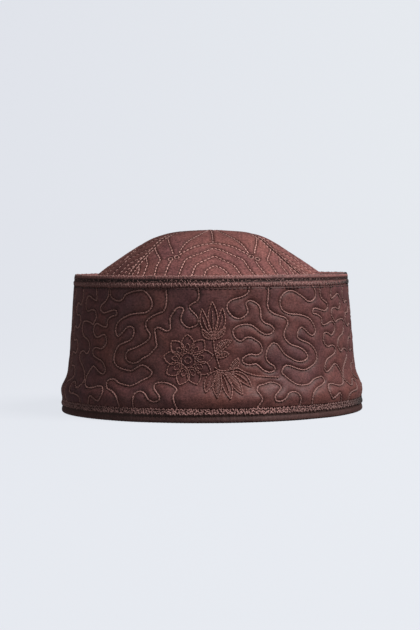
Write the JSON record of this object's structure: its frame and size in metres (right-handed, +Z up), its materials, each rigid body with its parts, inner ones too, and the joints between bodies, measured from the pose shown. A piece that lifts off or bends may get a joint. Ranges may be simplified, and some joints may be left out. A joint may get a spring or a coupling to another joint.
{
  "type": "quilted dervish cap",
  "caption": "Low quilted cloth cap with a tall coned band, rolled top edge and hem, and a gored crown sewn inside; hollow below for the head.",
  "frame": {"origin": "middle of the circle that the hem stands on", "axes": "+Z up through the crown, the front of the cap faces -Y, +X to the right as seen from the front"},
  "size_m": [0.1848, 0.1848, 0.1102],
  "materials": {
    "crown_cloth": "quilted cotton satin, soft sheen",
    "band_cloth": "quilted cotton satin, soft sheen",
    "edge_cloth": "rolled cotton satin with dense stitching",
    "hem_cloth": "rolled cotton satin with dense stitching"
  },
  "bodies": {
    "root": {"crown": "crown_cloth", "band": "band_cloth", "top_edge": "edge_cloth", "bottom_hem": "hem_cloth"}
  },
  "joints": []
}
